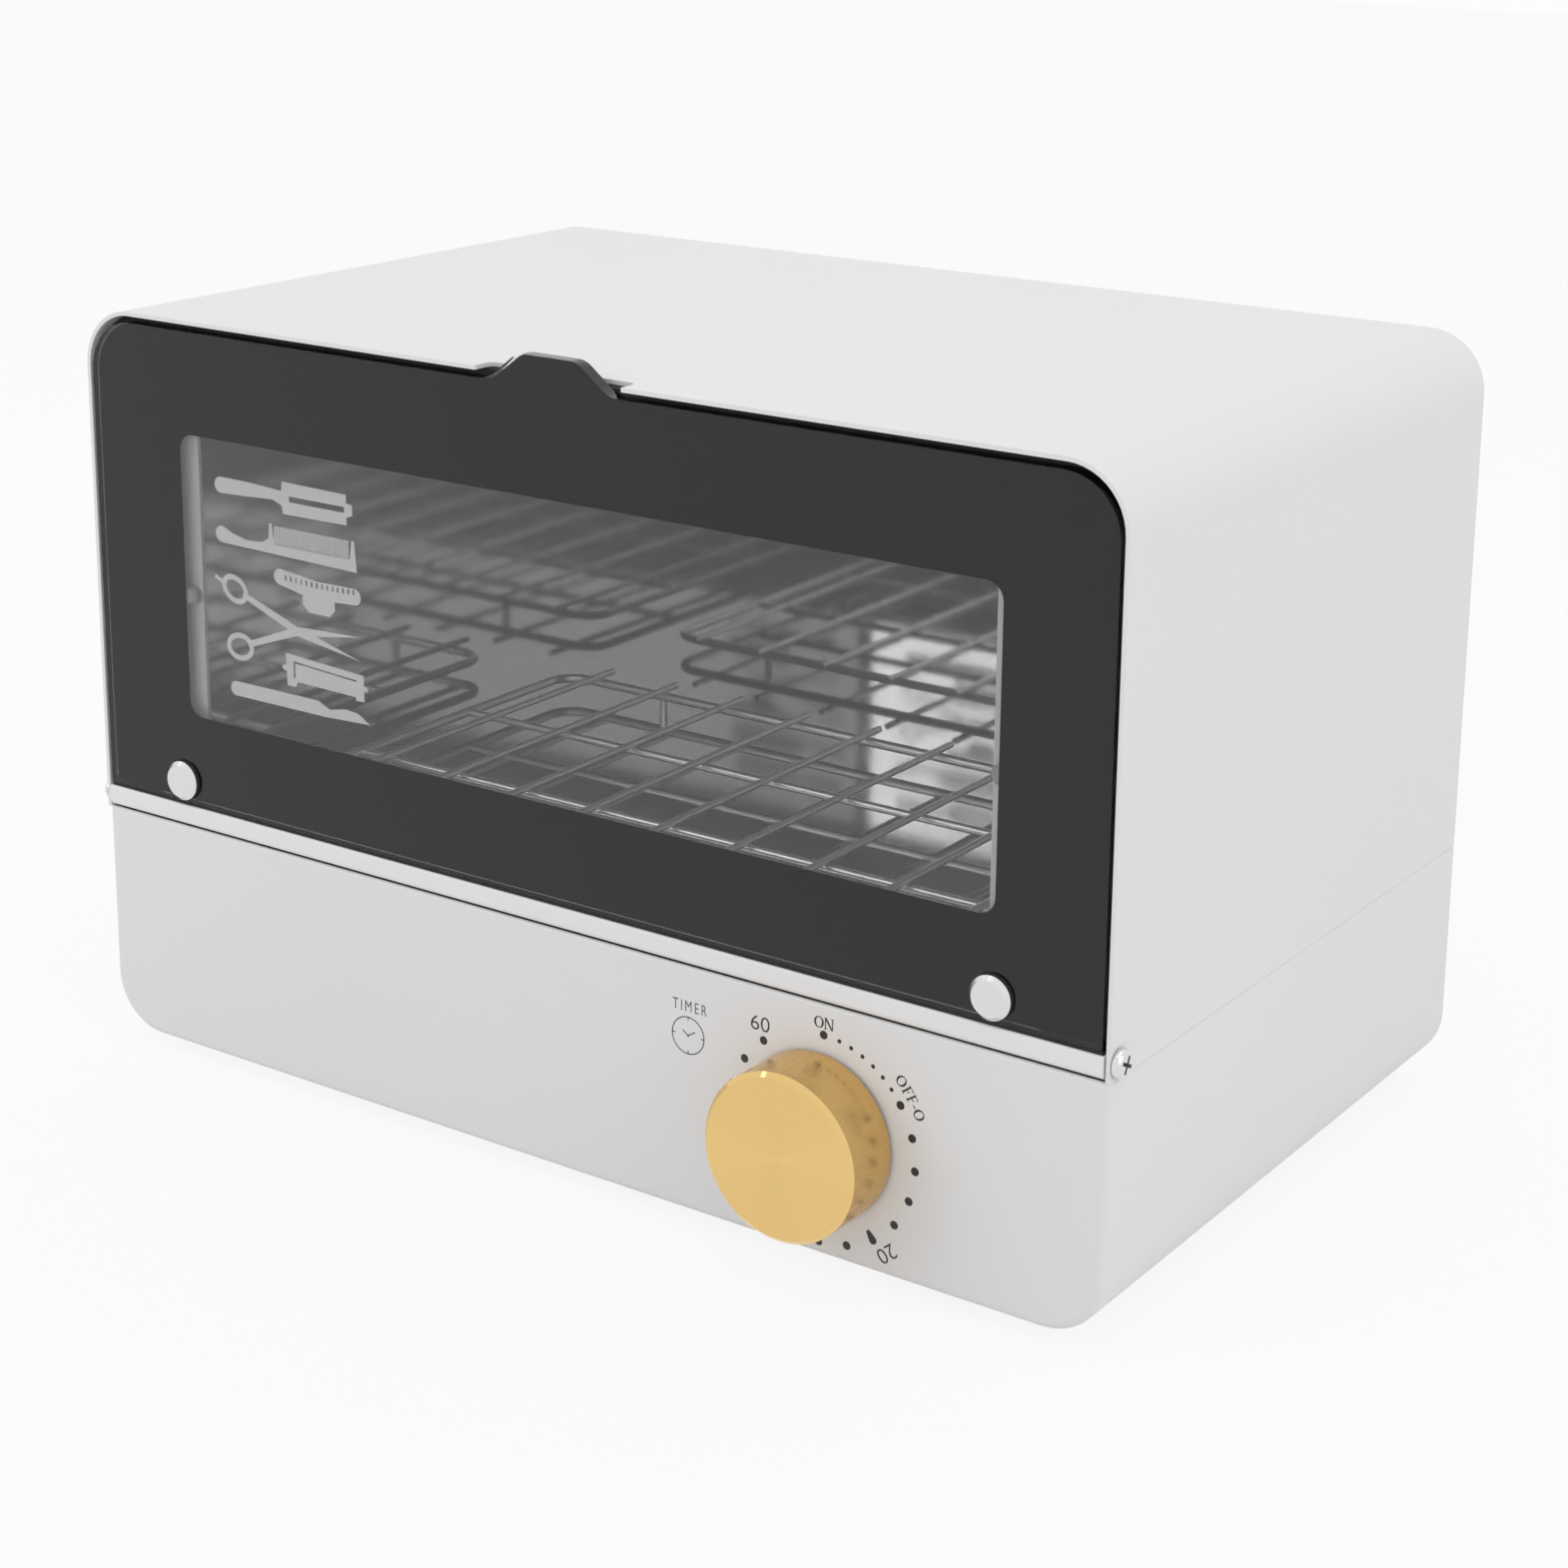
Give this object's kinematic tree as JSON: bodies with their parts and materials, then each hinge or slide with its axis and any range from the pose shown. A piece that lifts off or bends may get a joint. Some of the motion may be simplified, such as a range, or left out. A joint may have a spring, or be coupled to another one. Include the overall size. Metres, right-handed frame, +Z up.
{
  "type": "uv sterilizer cabinet",
  "caption": "Bench ultraviolet sterilizer cabinet with a drop-down glass door, a polished chamber, a wire rack, a lamp and a clockwork timer.",
  "frame": {"origin": "on the surface that the feet stand on, under the middle of the whole object from the knob's face to the back rim", "axes": "+X to the right as seen from the front, +Y to the back, +Z up; the door faces -Y"},
  "size_m": [0.352, 0.229, 0.234],
  "materials": {
    "case_paint": "light grey powder coat, satin",
    "bar_paint": "light grey powder coat, satin",
    "frame_paint": "white enamel, satin",
    "ballast_paint": "dark varnished laminations, satin",
    "smoked_glass": "lightly smoked, polished",
    "lamp_glass": "clear, polished",
    "border_print": "dark printed film seen through the glass",
    "polished_liner": "mirror-polished sheet",
    "rack_chrome": "bright plated wire",
    "bright_steel": "bright, polished",
    "zinc_steel": "zinc plated, satin",
    "shaft_steel": "ground steel",
    "cap_aluminium": "drawn, satin",
    "knob_gold": "gold anodised, turned",
    "holder_plastic": "white moulding",
    "timer_plastic": "black moulding",
    "block_plastic": "ivory moulding",
    "inlet_plastic": "black moulding",
    "pin_brass": "plated contact pins",
    "foot_rubber": "black rubber",
    "washer_rubber": "black rubber",
    "seal_rubber": "black rubber",
    "bumper_rubber": "grey rubber"
  },
  "bodies": {
    "cabinet": {"outer_shell": "case_paint", "feet": "foot_rubber", "foot_screws": "zinc_steel", "front_frame": "frame_paint", "door_seal": "seal_rubber", "door_bumpers": "bumper_rubber", "chamber_liner": "polished_liner", "wire_rack": "rack_chrome", "lamp_tube": "lamp_glass", "lamp_caps": "cap_aluminium", "lamp_holders": "holder_plastic", "holder_screws": "zinc_steel", "timer_body": "timer_plastic", "timer_screws": "zinc_steel", "ballast": "ballast_paint", "ballast_screws": "zinc_steel", "starter_base": "holder_plastic", "starter": "cap_aluminium", "terminal_block": "block_plastic", "back_panel": "case_paint", "back_screws": "zinc_steel", "mains_inlet": "inlet_plastic", "inlet_pins": "pin_brass"},
    "door": {"door_glass": "smoked_glass", "door_border": "border_print", "hinge_bar": "bar_paint", "glass_gasket": "seal_rubber", "hinge_screws": "bright_steel", "clamp_buttons": "bright_steel", "clamp_washers": "washer_rubber"},
    "knob": {"timer_knob": "knob_gold", "timer_shaft": "shaft_steel"}
  },
  "joints": [
    {"name": "door_hinge", "type": "hinge", "parent": "cabinet", "child": "door", "pos_m": [0, -0.0914, 0.0793], "axis": [1, 0, 0], "range_deg": [0, 90]},
    {"name": "timer_turn", "type": "hinge", "parent": "cabinet", "child": "knob", "pos_m": [0.0884, -0.0955, 0.0386], "axis": [0, 1, 0], "range_deg": [-55, 265]}
  ]
}
